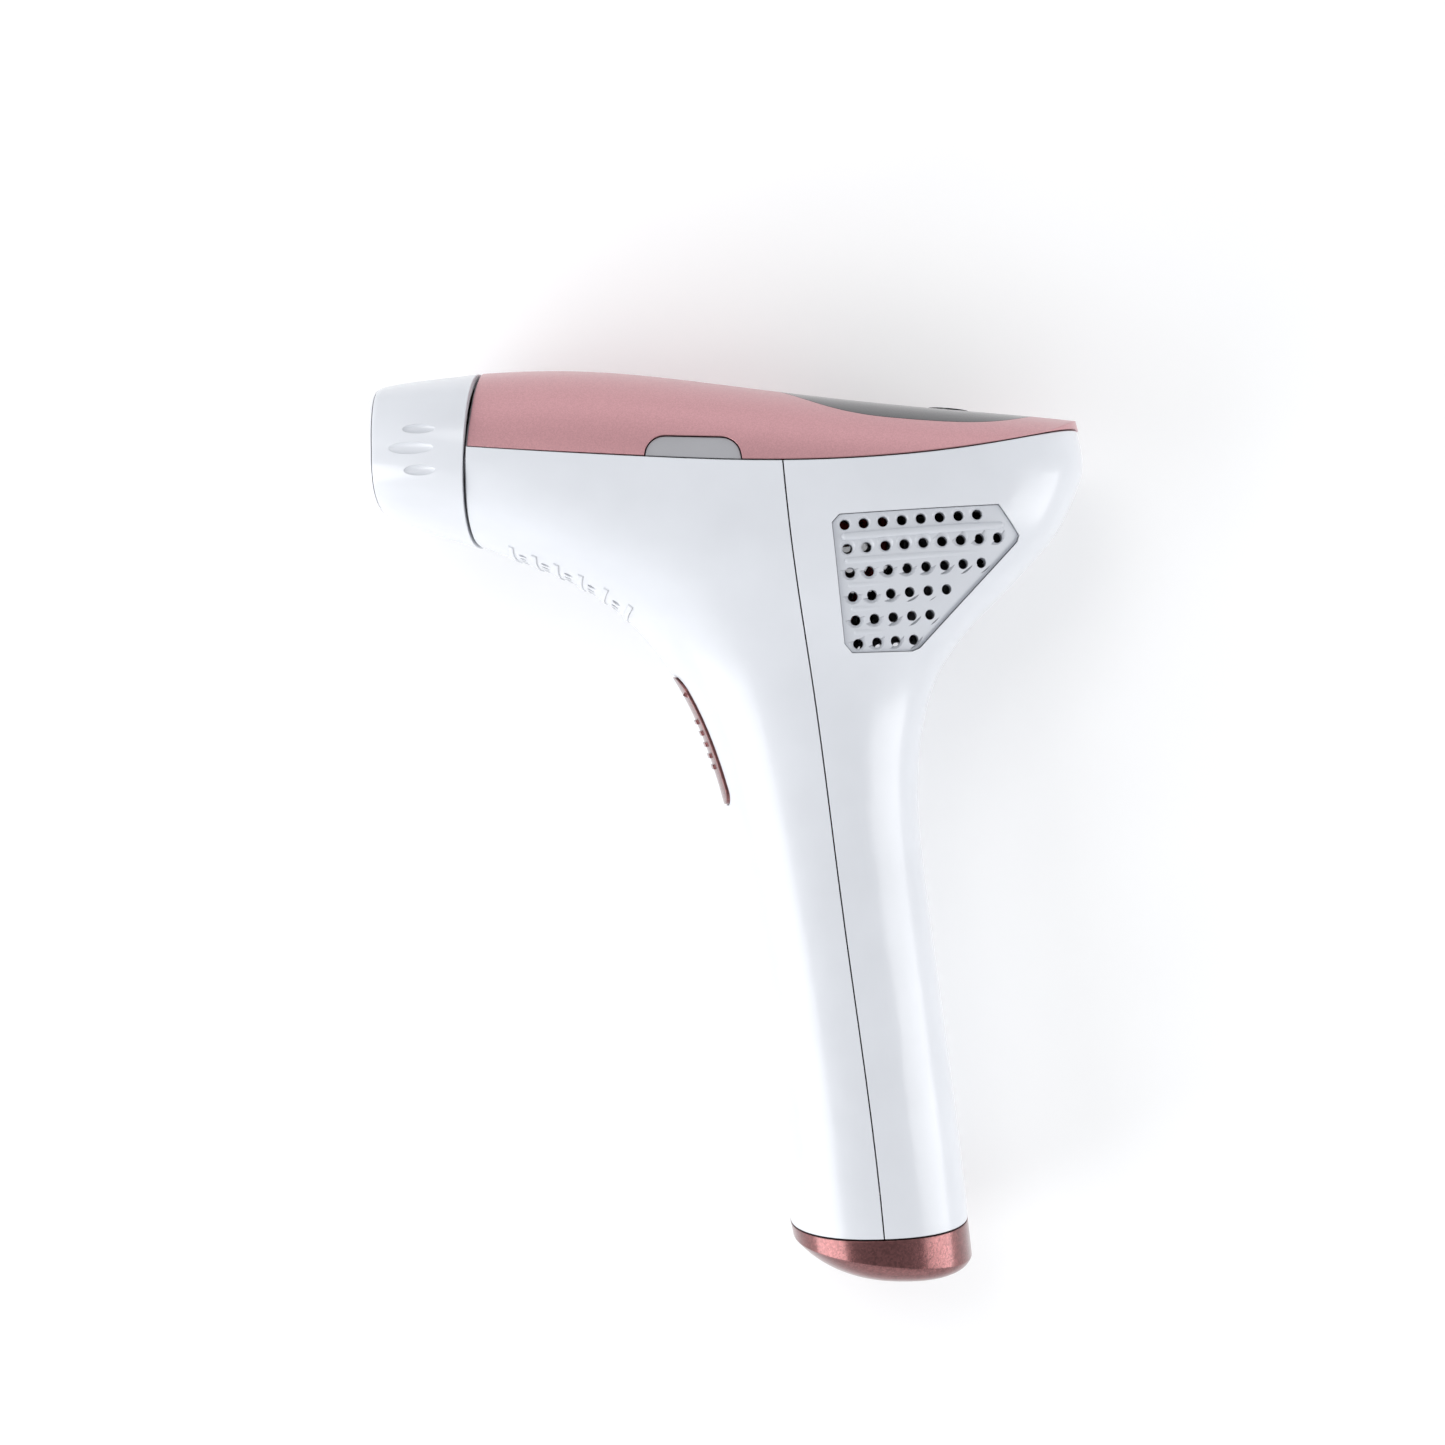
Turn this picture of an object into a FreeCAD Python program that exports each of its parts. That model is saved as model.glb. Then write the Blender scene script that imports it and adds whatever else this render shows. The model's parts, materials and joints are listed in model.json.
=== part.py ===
import FreeCAD, Part
import math
import os

V = FreeCAD.Vector

# ---------------------------------------------------------------------------
# Driving dimensions, millimetres.  The device is drawn about its own middle
# plane (z = 0) and every node is moved by ROW_ORIGIN at the end, so that it
# lies on its right side on z = 0.  The lamp head points along -X, the handle
# along -Y, the device's left side along +Z.
# ---------------------------------------------------------------------------
HALF_WIDTH = 31.0            # widest point of the body, from the middle plane
ROW_ORIGIN = (1.98, 2.0, -31.04)   # middle of the outline, underside of the lying device
WALL = 2.0                   # casing wall
SEAM_GAP = 0.3               # joint line between two mouldings
FIT_GAP = 0.35               # clearance around a moving button
SECTION_POINTS = 20          # points round one cross-section

# Slices through body and handle, from the top down:
# (front x, front y, back x, back y, half width, roundness of front, of back)
BODY_SLICES = [
    (-106.0, 104.0, 75.2, 104.0, 30.2, 2.6, 3.4),
    (-107.0, 92.0, 77.7, 92.0, HALF_WIDTH - 0.1, 2.6, 3.5),
    (-107.0, 86.0, 79.1, 85.6, HALF_WIDTH, 2.6, 3.6),
    (-103.4, 80.9, 79.9, 80.9, HALF_WIDTH, 2.6, 3.6),
    (-88.0, 75.2, 78.8, 75.4, 30.8, 2.6, 3.6),
    (-72.3, 69.6, 76.5, 69.8, 30.5, 2.55, 3.6),
    (-58.7, 64.9, 73.2, 64.0, 30.0, 2.5, 3.5),
    (-47.0, 60.6, 68.4, 58.3, 29.2, 2.5, 3.4),
    (-36.0, 56.2, 62.6, 52.0, 28.0, 2.45, 3.2),
    (-27.4, 51.5, 57.3, 46.6, 26.8, 2.4, 3.0),
    (-18.4, 44.1, 51.7, 39.8, 25.2, 2.4, 2.8),
    (-10.4, 33.9, 47.4, 31.6, 23.4, 2.35, 2.5),
    (-3.6, 20.4, 44.6, 18.6, 21.4, 2.3, 2.35),
    (1.3, 5.0, 44.2, 5.0, 20.0, 2.3, 2.3),
    (5.6, -14.0, 46.0, -13.5, 19.5, 2.3, 2.3),
    (9.9, -39.0, 49.4, -39.0, 19.5, 2.3, 2.3),
    (13.1, -63.7, 52.6, -63.5, 19.8, 2.3, 2.3),
    (15.7, -88.0, 55.3, -86.8, 20.3, 2.3, 2.3),
    (17.0, -100.0, 56.6, -99.0, 20.6, 2.3, 2.3),
]

# Line on the side where the top cover meets the white shells
PARTING_LINE = [(-90.0, 85.0), (-52.6, 81.3), (-16.8, 79.1), (13.0, 78.3),
                (37.6, 79.6), (59.9, 82.9), (74.8, 86.5), (90.0, 91.2)]
# Crown of the top cover along the middle plane: (x, y, half width of the arch)
CROWN_STATIONS = [(-62.0, 100.8, 29.4), (-50.0, 101.6, 30.2), (-36.0, 102.0, 31.2),
                  (-20.0, 101.2, 31.8), (0.0, 98.9, 32.2), (19.0, 96.5, 32.2),
                  (40.0, 94.2, 32.2), (60.0, 92.4, 32.2), (84.0, 89.8, 32.2)]
CROWN_BASE = 70.0            # height at which the arches stand upright
CROWN_ROUNDNESS = 2.15
COVER_PROUD = 0.35           # the cover stands this far outside the shells

# Joint line between the front and rear shells, seen from the side
SHELL_SEAM = [(11.0, 100.0), (13.0, 78.1), (14.7, 62.9), (19.8, 30.5), (26.3, -17.7),
              (32.4, -62.2), (35.2, -88.0), (36.4, -104.0)]

# Plane between lamp head and body: leans a little with the head
HEAD_PLANE_X = -53.3
HEAD_PLANE_Y = 82.0
HEAD_PLANE_LEAN = 2.66       # degrees
GASKET_THICK = 0.35
HEAD_GAP = 0.3               # clear gap between gasket and lamp head

# Lamp head, from the body to the front: (x, middle y, half width, height above,
# height below, roundness exponent)
HEAD_SLICES = [
    (-50.0, 81.2, 29.8, 20.1, 19.5, 2.25),
    (-57.0, 81.4, 28.9, 18.9, 17.7, 2.35),
    (-64.0, 81.8, 27.6, 17.5, 16.0, 2.55),
    (-70.5, 82.3, 25.9, 15.8, 14.5, 2.85),
    (-76.2, 83.0, 24.0, 13.6, 12.2, 3.2),
]
HEAD_FRONT_X = -76.2
HEAD_EDGE_RADIUS = 4.4
HEAD_WALL = 2.3
BEZEL_BACK_X = HEAD_FRONT_X + 2.2    # the bezel's joint line
WINDOW_HALF_LENGTH = 17.0
WINDOW_HALF_HEIGHT = 5.4

# Handle end cap: (front x, front y, back x, back y, half width), from the joint line down
CAP_TOP = (15.7, -88.0, 55.3, -86.5, 20.3)
CAP_CREASE = (16.3, -91.3, 56.2, -95.0, 20.5)
CAP_FLANK = (20.8, -95.1, 55.0, -96.7, 18.6)
CAP_BOTTOM = -98.0
CAP_SOLE = (28.0, CAP_BOTTOM, 51.6, CAP_BOTTOM, 14.6)
CAP_GAP = 0.4                # joint line above the cap

# Finger trigger on the front of the handle
TRIGGER_TOP = 33.6
TRIGGER_BOTTOM = 5.4
TRIGGER_HALF_WIDTH = 8.4
TRIGGER_CORNER = 3.4
TRIGGER_PROUD = 0.5

# Side vent grille: rows of holes, longest first from the top
VENT_OUTLINE = [(23.4, 65.4), (24.9, 67.1), (58.6, 69.5), (63.4, 63.4),
                (63.1, 62.1), (42.7, 39.6), (41.0, 38.9), (28.0, 38.4), (26.4, 40.3)]
VENT_ROW_HOLES = [8, 9, 8, 6, 5, 4]
VENT_FIRST_HOLE = (26.0, 65.0)
VENT_ROW_STEP = (0.66, -4.95)
VENT_PITCH = 4.03
VENT_ROW_TILT = 4.9          # degrees
VENT_HOLE_RADIUS = 1.08
VENT_CHAMFER = 0.35
VENT_GAP = 0.12              # joint line round the grille
VENT_RIB_RADIUS = 0.85
VENT_RIB_END_X = 59.8
VENT_SINK = 0.6              # the grille lies this far below the casing


# ---------------------------------------------------------------------------
# Small helpers
# ---------------------------------------------------------------------------
def superellipse_point(angle, half_a, half_b, exponent):
    """Point on a superellipse, from the angle round it."""
    c = math.cos(angle)
    s = math.sin(angle)
    reach = (abs(c) ** exponent + abs(s) ** exponent) ** (-1.0 / exponent)
    return half_a * reach * c, half_b * reach * s


def closed_curve_wire(points):
    """Smooth closed wire through points."""
    curve = Part.BSplineCurve()
    curve.interpolate(points, PeriodicFlag=True)
    return Part.Wire([curve.toShape()])


def open_curve(points):
    """Smooth open edge through (x, y) points."""
    curve = Part.BSplineCurve()
    curve.interpolate([V(x, y, 0) for x, y in points])
    return curve.toShape()


def box(x0, x1, y0, y1, z0, z1):
    """Box between two corners."""
    return Part.makeBox(x1 - x0, y1 - y0, z1 - z0, V(x0, y0, z0))


def cylinder(radius, start, end):
    """Cylinder from one point to another."""
    axis = V(*end) - V(*start)
    return Part.makeCylinder(radius, axis.Length, V(*start), axis)


def mirrored(shape):
    """The same shape on the device's other side."""
    return shape.mirror(V(0, 0, 0), V(0, 0, 1))


def polygon_prism(points, z0, z1):
    """Prism over a polygon of (x, y) points."""
    corners = [V(x, y, z0) for x, y in points]
    face = Part.Face(Part.makePolygon(corners + corners[:1]))
    return face.extrude(V(0, 0, z1 - z0))


def grown_prism(points, grow, radius, z0, z1):
    """Polygon prism grown outwards by an offset, corners rounded."""
    corners = [V(x, y, z0) for x, y in points]
    outline = Part.makePolygon(corners + corners[:1])
    if abs(grow) > 1e-6:
        outline = outline.makeOffset2D(grow, 0)
    solid = Part.Face(outline).extrude(V(0, 0, z1 - z0))
    if radius > 0:
        upright = [e for e in solid.Edges if abs(e.Vertexes[0].Z - e.Vertexes[-1].Z) > 0.5 * (z1 - z0)]
        solid = solid.makeFillet(radius, upright)
    return solid


# ---------------------------------------------------------------------------
# Outer form
# ---------------------------------------------------------------------------
def silhouette_normals(points):
    """Unit normals of a line of (x, y) points, turned to the left of its run."""
    normals = []
    last = len(points) - 1
    for i in range(len(points)):
        x0, y0 = points[max(i - 1, 0)]
        x1, y1 = points[min(i + 1, last)]
        length = math.hypot(x1 - x0, y1 - y0)
        normals.append((-(y1 - y0) / length, (x1 - x0) / length))
    return normals


def body_form(inset):
    """Solid of body and handle, shrunk by an inset (grown when negative)."""
    front = [(s[0], s[1]) for s in BODY_SLICES]
    back = [(s[2], s[3]) for s in BODY_SLICES]
    front_normals = silhouette_normals(front)
    back_normals = silhouette_normals(back)
    wires = []
    for i, (fx, fy, bx, by, half_width, front_round, back_round) in enumerate(BODY_SLICES):
        fx += inset * front_normals[i][0]
        fy += inset * front_normals[i][1]
        bx -= inset * back_normals[i][0]
        by -= inset * back_normals[i][1]
        middle = V((fx + bx) / 2, (fy + by) / 2, 0)
        along = V(bx - fx, by - fy, 0)
        half_length = along.Length / 2
        along.normalize()
        points = []
        for k in range(SECTION_POINTS):
            angle = 2 * math.pi * k / SECTION_POINTS
            roundness = back_round if math.cos(angle) > 0 else front_round
            a, b = superellipse_point(angle, half_length, half_width - inset, roundness)
            points.append(middle + along * a + V(0, 0, b))
        wires.append(closed_curve_wire(points))
    return Part.makeLoft(wires, True, False)


def head_section(x, middle_y, half_width, above, below, exponent):
    """Upright cross-section of the lamp head at one station."""
    points = []
    for k in range(SECTION_POINTS):
        angle = 2 * math.pi * k / SECTION_POINTS
        z, y = superellipse_point(angle, half_width, 1.0, exponent)
        points.append(V(x, middle_y + y * (above if y > 0 else below), z))
    return closed_curve_wire(points)


def head_form():
    """Solid of the lamp head's outside, run a little into the body."""
    solid = Part.makeLoft([head_section(*s) for s in HEAD_SLICES], True, False)
    rim = [e for e in solid.Edges
           if all(abs(v.X - HEAD_FRONT_X) < 0.01 for v in e.Vertexes) and len(e.Vertexes) == 1]
    return solid.makeFillet(HEAD_EDGE_RADIUS, rim)


def head_size_at(x):
    """Middle, half width, height above and below, roundness of the lamp head at x."""
    for first, second in zip(HEAD_SLICES, HEAD_SLICES[1:]):
        if first[0] >= x >= second[0]:
            share = (first[0] - x) / (first[0] - second[0])
            return [a + share * (b - a) for a, b in zip(first[1:], second[1:])]
    raise ValueError("no lamp head at this station")


def head_core(wall):
    """Solid of the lamp head's inside, a wall thickness smaller all round."""
    wires = []
    for x, middle, half_width, above, below, exponent in HEAD_SLICES:
        inside_x = max(x, BEZEL_BACK_X - 0.5)
        wires.append(head_section(inside_x, middle, half_width - wall, above - wall, below - wall, exponent))
    return Part.makeLoft(wires, True, False)


def crown_form(inset):
    """Solid under the arched crown of the top cover."""
    wires = []
    for x, top, half_width in CROWN_STATIONS:
        rise = top - inset - CROWN_BASE
        points = []
        for k in range(13):
            angle = math.pi * k / 12
            z, y = superellipse_point(angle, half_width - inset, rise, CROWN_ROUNDNESS)
            points.append(V(x, CROWN_BASE + y, z))
        arch = Part.BSplineCurve()
        arch.interpolate(points)
        floor_edge = Part.makeLine(points[-1], points[0])
        wires.append(Part.Wire([arch.toShape(), floor_edge]))
    return Part.makeLoft(wires, True, False)


def above_parting_line(lift):
    """Everything above the parting line, lifted by an amount."""
    line = open_curve([(x, y + lift) for x, y in PARTING_LINE])
    start = V(PARTING_LINE[0][0], PARTING_LINE[0][1] + lift, 0)
    end = V(PARTING_LINE[-1][0], PARTING_LINE[-1][1] + lift, 0)
    roof = 130.0
    wire = Part.Wire([line, Part.makeLine(end, V(end.x, roof, 0)),
                      Part.makeLine(V(end.x, roof, 0), V(start.x, roof, 0)),
                      Part.makeLine(V(start.x, roof, 0), start)])
    face = Part.Face(wire)
    face.translate(V(0, 0, -60))
    return face.extrude(V(0, 0, 120))


def behind_head_plane(shift):
    """Everything on the body's side of the plane at the lamp head."""
    block = box(0, 200, -230, 60, -60, 60)
    block.rotate(V(0, 0, 0), V(0, 0, 1), -HEAD_PLANE_LEAN)
    block.translate(V(HEAD_PLANE_X + shift, HEAD_PLANE_Y, 0))
    return block


def in_front_of_head_plane(shift):
    """Everything on the lamp head's side of the plane."""
    block = box(-80, 0, -60, 60, -60, 60)
    block.rotate(V(0, 0, 0), V(0, 0, 1), -HEAD_PLANE_LEAN)
    block.translate(V(HEAD_PLANE_X - shift, HEAD_PLANE_Y, 0))
    return block


def in_front_of_shell_seam(shift):
    """Everything in front of the joint line between the two shells."""
    line = open_curve([(x - shift, y) for x, y in SHELL_SEAM])
    top = V(SHELL_SEAM[0][0] - shift, SHELL_SEAM[0][1], 0)
    bottom = V(SHELL_SEAM[-1][0] - shift, SHELL_SEAM[-1][1], 0)
    far = -150.0
    wire = Part.Wire([line, Part.makeLine(bottom, V(far, bottom.y, 0)),
                      Part.makeLine(V(far, bottom.y, 0), V(far, top.y, 0)),
                      Part.makeLine(V(far, top.y, 0), top)])
    face = Part.Face(wire)
    face.translate(V(0, 0, -60))
    return face.extrude(V(0, 0, 120))


def below_cap_line(drop):
    """Everything below the joint line of the end cap."""
    fx, fy, bx, by, _ = CAP_TOP
    slope = (by - fy) / (bx - fx)
    left = -30.0
    right = 100.0
    floor_y = -130.0
    points = [(left, fy + slope * (left - fx) - drop), (right, fy + slope * (right - fx) - drop),
              (right, floor_y), (left, floor_y)]
    return polygon_prism(points, -60, 60)


# ---------------------------------------------------------------------------
# Outside: shells, cover, window, cap
# ---------------------------------------------------------------------------
WINDOW_OUTLINE = [(10.4, 0.0), (12.2, 8.0), (16.4, 14.6), (22.5, 19.2), (30.0, 21.6), (38.0, 22.2),
                  (47.0, 22.2), (56.0, 21.2), (62.8, 18.2), (67.4, 12.8), (69.6, 6.6), (70.2, 0.0)]
WINDOW_CENTRE_X = 41.0
WINDOW_THICK = 1.6
WINDOW_LEDGE = 1.8           # width of the ledge the window sits on
POWER_BUTTON = (51.0, 5.0)   # x and radius
RELEASE_OUTLINE = [(-16.2, 78.0), (-15.4, 83.9), (3.6, 83.5), (4.7, 78.0)]
RELEASE_CORNER = 4.4
BUTTON_SINK = 0.35           # the side buttons lie this far below the cover
BELLY_RIB_X = [-46.2, -41.2, -36.4, -31.4, -26.4, -21.4]
BELLY_RIB_HALF = 0.6         # half thickness of a rib
BELLY_RIB_REACH = 15.0       # half length of a rib round the belly
BELLY_HOLES_PER_ROW = 7
JACK_X = 39.8
INLET_RADIUS = 4.2
CAP_FLOOR = 2.5
CAP_SCREW_X = [31.2, 48.4]


def hollow_casing():
    """White casing before it is split: a skin, open at the neck, the top and the handle's end."""
    skin = body_form(0).cut(body_form(WALL))
    skin = skin.cut(above_parting_line(0))
    skin = skin.common(behind_head_plane(0))
    return skin.cut(below_cap_line(0))


def trigger_outline(grow):
    """Block through the front of the handle with the trigger's rounded outline."""
    low = TRIGGER_BOTTOM - grow
    high = TRIGGER_TOP + grow
    half = TRIGGER_HALF_WIDTH + grow
    block = box(-40, 20, low, high, -half, half)
    lengthwise = [e for e in block.Edges if abs(e.Vertexes[0].X - e.Vertexes[-1].X) > 50]
    return block.makeFillet(TRIGGER_CORNER + grow, lengthwise)


def belly_point(x):
    """Height and slope of the belly at x on the middle plane."""
    front = [(s[0], s[1]) for s in BODY_SLICES]
    for (x0, y0), (x1, y1) in zip(front, front[1:]):
        if x0 <= x <= x1 and y1 < y0:
            share = (x - x0) / (x1 - x0)
            return y0 + share * (y1 - y0), (y1 - y0) / (x1 - x0)
    raise ValueError("no belly here")


def belly_cutters():
    """Small air holes in rows round the belly, square to its surface."""
    holes = []
    for left, right in zip(BELLY_RIB_X, BELLY_RIB_X[1:]):
        x = (left + right) / 2
        y, slope = belly_point(x)
        length = math.hypot(1.0, slope)
        inward = V(-slope / length, 1.0 / length, 0)
        for k in range(BELLY_HOLES_PER_ROW):
            side = (k - (BELLY_HOLES_PER_ROW - 1) / 2) * 3.6
            holes.append(Part.makeCylinder(0.95, 16, V(x, y, side) - inward * 6, inward))
    return Part.makeCompound(holes)


def belly_ribs():
    """Raised ribs round the belly between the rows of air holes."""
    band = body_form(-0.3).cut(body_form(0.8))
    ribs = []
    for x in BELLY_RIB_X:
        y, slope = belly_point(x)
        rib = box(-BELLY_RIB_HALF, BELLY_RIB_HALF, -8, 8, -BELLY_RIB_REACH, BELLY_RIB_REACH)
        rib.rotate(V(0, 0, 0), V(0, 0, 1), math.degrees(math.atan(slope)))
        rib.translate(V(x, y, 0))
        ribs.append(band.common(rib))
    return ribs


def front_shell(casing):
    """Front half: belly, front of the handle, opening for the trigger."""
    shell = casing.common(in_front_of_shell_seam(SEAM_GAP / 2))
    shell = shell.cut(trigger_outline(FIT_GAP))
    for rib in belly_ribs():
        shell = shell.fuse(rib)
    shell = shell.cut(belly_cutters())
    return shell.fuse(cap_screw_boss(CAP_SCREW_X[0], 16.2)).cut(cap_screw_bores())


def rear_shell(casing):
    """Rear half: back of the body and handle, openings for the vent grilles."""
    shell = casing.cut(in_front_of_shell_seam(-SEAM_GAP / 2))
    for side in (1, -1):
        opening = grown_prism(VENT_OUTLINE, VENT_GAP, 0, 5, 40)
        shell = shell.cut(opening if side > 0 else mirrored(opening))
    return shell.fuse(cap_screw_boss(CAP_SCREW_X[1], 53.4)).cut(cap_screw_bores())


def cap_screw_boss(x, wall_x):
    """Screw post inside the handle's end, joined to the casing wall by a web."""
    post = cylinder(3.0, (x, -87.0, 0), (x, -77.0, 0))
    return post.fuse(box(min(x, wall_x), max(x, wall_x), -87.0, -77.0, -1.5, 1.5))


def cap_screw_bores():
    """Clearance bores of the two screws that hold the end cap."""
    return Part.makeCompound([cylinder(1.05, (x, -100, 0), (x, -78, 0)) for x in CAP_SCREW_X])


def vent_row_centres():
    """Hole centres of the side grille, one list per row."""
    tilt = math.radians(VENT_ROW_TILT)
    rows = []
    for row, count in enumerate(VENT_ROW_HOLES):
        x0 = VENT_FIRST_HOLE[0] + row * VENT_ROW_STEP[0]
        y0 = VENT_FIRST_HOLE[1] + row * VENT_ROW_STEP[1]
        rows.append([(x0 + k * VENT_PITCH * math.cos(tilt), y0 + k * VENT_PITCH * math.sin(tilt))
                     for k in range(count)])
    return rows


def body_side_z(x, y, inset):
    """Distance of the body's side from the middle plane at a point of the side view."""
    for upper, lower in zip(BODY_SLICES[1:], BODY_SLICES[2:]):
        if lower[1] <= y <= upper[1]:
            share = (upper[1] - y) / (upper[1] - lower[1])
            fx, _, bx, _, half_width, _, back_round = [a + share * (b - a) for a, b in zip(upper, lower)]
            reach = (x - (fx + bx) / 2) / ((bx - fx) / 2 - inset)
            return (half_width - inset) * (1 - reach ** back_round) ** (1 / back_round)
    raise ValueError("not on the body's side")


def vent_rib(x0, y0, length):
    """Rounded rib that follows the body's side along one row of holes."""
    tilt = math.radians(VENT_ROW_TILT)
    points = []
    steps = 5
    for k in range(steps + 1):
        x = x0 + length * k / steps * math.cos(tilt)
        y = y0 + length * k / steps * math.sin(tilt)
        points.append(V(x, y, body_side_z(x, y, VENT_SINK)))
    spine = Part.BSplineCurve()
    spine.interpolate(points)
    tangent = spine.tangent(0)[0]
    profile = Part.Wire([Part.makeCircle(VENT_RIB_RADIUS, points[0], tangent)])
    bar = Part.Wire([spine.toShape()]).makePipeShell([profile], True, True)
    ends = [Part.makeSphere(VENT_RIB_RADIUS, p) for p in (points[0], points[-1])]
    return bar.fuse(ends)


def vent_hole_cutter(x, y):
    """Drill for one air hole with a chamfered mouth."""
    z = body_side_z(x, y, VENT_SINK)
    drill = cylinder(VENT_HOLE_RADIUS, (x, y, 5), (x, y, 40))
    mouth = Part.makeCone(VENT_HOLE_RADIUS, VENT_HOLE_RADIUS + 3 * VENT_CHAMFER, 3 * VENT_CHAMFER,
                          V(x, y, z - VENT_CHAMFER), V(0, 0, 1))
    return drill.fuse(mouth)


def vent_grille():
    """Inset grille of the left side: sunk plate, rows of holes, raised ribs, flange behind."""
    plate = body_form(VENT_SINK).cut(body_form(WALL)).common(grown_prism(VENT_OUTLINE, 0, 0, 5, 40))
    flange = body_form(WALL + 0.1).cut(body_form(WALL + 1.1))
    flange = flange.common(grown_prism(VENT_OUTLINE, 1.6, 0, 5, 40))
    joiner = body_form(WALL - 0.3).cut(body_form(WALL + 0.6))
    joiner = joiner.common(grown_prism(VENT_OUTLINE, -0.6, 0, 5, 40))
    grille = plate.fuse([flange, joiner])
    rows = vent_row_centres()
    for upper, lower in zip(rows, rows[1:]):
        x0 = (upper[0][0] + lower[0][0]) / 2 - 0.2
        y0 = (upper[0][1] + lower[0][1]) / 2
        x1 = min(max(upper[-1][0], lower[-1][0]) + 0.4, VENT_RIB_END_X)
        grille = grille.fuse(vent_rib(x0, y0, x1 - x0))
    cutters = [vent_hole_cutter(x, y) for row in rows for x, y in row]
    return grille.cut(Part.makeCompound(cutters))


def cover_block():
    """Top cover before it is hollowed: the crowned upper part of the body, a little proud of the shells."""
    block = body_form(-COVER_PROUD).common(crown_form(0))
    block = block.common(above_parting_line(SEAM_GAP))
    return block.common(behind_head_plane(0))


def window_prism(grow):
    """Upright prism over the display window's rounded outline."""
    half = [(x, z) for x, z in WINDOW_OUTLINE]
    loop = half + [(x, -z) for x, z in reversed(half[1:-1])]
    points = []
    for x, z in loop:
        length = math.hypot(x - WINDOW_CENTRE_X, z)
        share = (length + grow) / length
        points.append(V(WINDOW_CENTRE_X + (x - WINDOW_CENTRE_X) * share, 60, z * share))
    face = Part.Face(closed_curve_wire(points))
    return face.extrude(V(0, 60, 0))


def release_prism(grow):
    """Block with the side button's outline, on the left side."""
    low_left, high_left, high_right, low_right = RELEASE_OUTLINE
    points = [(low_left[0] - grow, low_left[1]), (high_left[0] - 0.6 * grow, high_left[1] + grow),
              (high_right[0] + 0.6 * grow, high_right[1] + grow), (low_right[0] + grow, low_right[1])]
    prism = polygon_prism(points, 20, 45)
    top = [e for e in prism.Edges
           if abs(e.Vertexes[0].Z - e.Vertexes[-1].Z) > 20 and e.Vertexes[0].Y > 80]
    return prism.makeFillet(RELEASE_CORNER + grow, top)


def top_cover(block):
    """Rose-gold cover: thin shell with a seat for the window and two side notches."""
    cover = block.cut(body_form(WALL).common(crown_form(WALL)))
    seat = window_prism(0).cut(crown_form(WINDOW_THICK))
    cover = cover.cut(seat)
    cover = cover.cut(window_prism(-WINDOW_LEDGE))
    notch = release_prism(0)
    return cover.cut(notch).cut(mirrored(notch))


def display_window(block):
    """Smoked window, flush with the cover, with the power button's hole."""
    pane = block.common(window_prism(-0.15)).cut(crown_form(WINDOW_THICK - 0.05))
    x, radius = POWER_BUTTON
    return pane.cut(cylinder(radius + 0.25, (x, 80, 0), (x, 110, 0)))


def power_button():
    """Round button through the window, with a retaining flange below."""
    x, radius = POWER_BUTTON
    crown = crown_form(-0.55)
    cap = cylinder(radius, (x, 89.2, 0), (x, 100, 0)).common(crown)
    flange = cylinder(radius + 0.9, (x, 89.2, 0), (x, 90.2, 0))
    stem = cylinder(1.4, (x, 88.2, 0), (x, 89.2, 0))
    return cap.fuse([flange, stem])


def whole_form(inset):
    """Body and cover together, shrunk by an inset."""
    lower = box(-70, 90, -130, CROWN_BASE + 5.0, -60, 60)
    return body_form(inset).common(crown_form(inset).fuse(lower))


def neck_gasket():
    """Grey ring in the joint between body and lamp head."""
    ring = whole_form(0.7).cut(whole_form(3.2))
    ring = ring.common(in_front_of_head_plane(0))
    return ring.common(behind_head_plane(-GASKET_THICK))


def cap_slice(slice_line, inset, lift):
    """Outline of one slice of the end cap, shrunk by an inset and lifted."""
    fx, fy, bx, by, half_width = slice_line
    middle = V((fx + bx) / 2, (fy + by) / 2 + lift, 0)
    along = V(bx - fx, by - fy, 0)
    half_length = along.Length / 2 - inset
    along.normalize()
    points = []
    for k in range(SECTION_POINTS):
        angle = 2 * math.pi * k / SECTION_POINTS
        a, b = superellipse_point(angle, half_length, half_width - inset, 2.3)
        points.append(middle + along * a + V(0, 0, b))
    return closed_curve_wire(points)


def bottom_cap():
    """Rose-gold end cap: side band, slanted crease, tapered foot, flat sole with the supply inlet."""
    band = Part.makeLoft([cap_slice(CAP_TOP, 0, -CAP_GAP), cap_slice(CAP_CREASE, 0, 0)], True, True)
    foot = Part.makeLoft([cap_slice(CAP_CREASE, 0, 0), cap_slice(CAP_FLANK, 0, 0),
                          cap_slice(CAP_SOLE, 0, 0)], True, False)
    block = band.fuse(foot)
    room = Part.makeLoft([cap_slice(CAP_TOP, WALL, 1.0), cap_slice(CAP_CREASE, WALL, 0.6)], True, True)
    well = Part.makeLoft([cap_slice(CAP_CREASE, WALL + 0.3, 0.7), cap_slice(CAP_FLANK, WALL + 1.4, 1.4),
                          cap_slice(CAP_SOLE, WALL - 0.6, CAP_FLOOR)], True, True)
    cap = block.cut(room.fuse(well))
    for x in CAP_SCREW_X:
        post = cylinder(2.6, (x, CAP_BOTTOM + 1.0, 0), (x, -90.5, 0))
        cap = cap.fuse(post)
    for x in CAP_SCREW_X:
        cap = cap.cut(cylinder(2.05, (x, CAP_BOTTOM - 1, 0), (x, CAP_BOTTOM + 1.6, 0)))
        cap = cap.cut(cylinder(1.05, (x, CAP_BOTTOM - 1, 0), (x, -80, 0)))
    return cap.cut(cylinder(INLET_RADIUS, (JACK_X, CAP_BOTTOM - 1, 0), (JACK_X, -90, 0)))


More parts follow.
